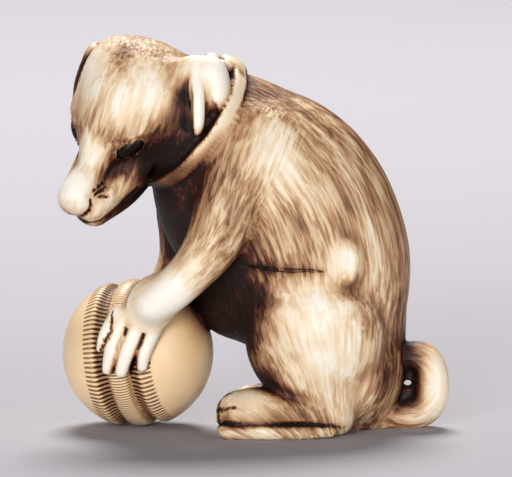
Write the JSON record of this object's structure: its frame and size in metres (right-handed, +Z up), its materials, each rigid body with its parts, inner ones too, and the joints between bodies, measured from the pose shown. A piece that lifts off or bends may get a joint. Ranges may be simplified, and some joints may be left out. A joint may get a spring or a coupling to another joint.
{
  "type": "netsuke",
  "caption": "Small hand-carved toggle: a seated dog with a collar rests its forepaws on a thread-bound ball; inlaid eyes, curled tail with a cord hole.",
  "frame": {"origin": "centre of the whole box in plan, on the flat that the carving stands on", "axes": "+Z up; the dog sits facing -X, its left side is toward -Y and its head is turned that way"},
  "size_m": [0.0414, 0.022, 0.0419],
  "materials": {
    "ivory": "hand polished, with dark stain left in the engraved hair and the hollows",
    "dark_horn": "polished to a high gloss"
  },
  "bodies": {
    "root": {"dog_and_ball": "ivory", "left_eye": "dark_horn", "right_eye": "dark_horn"}
  },
  "joints": []
}
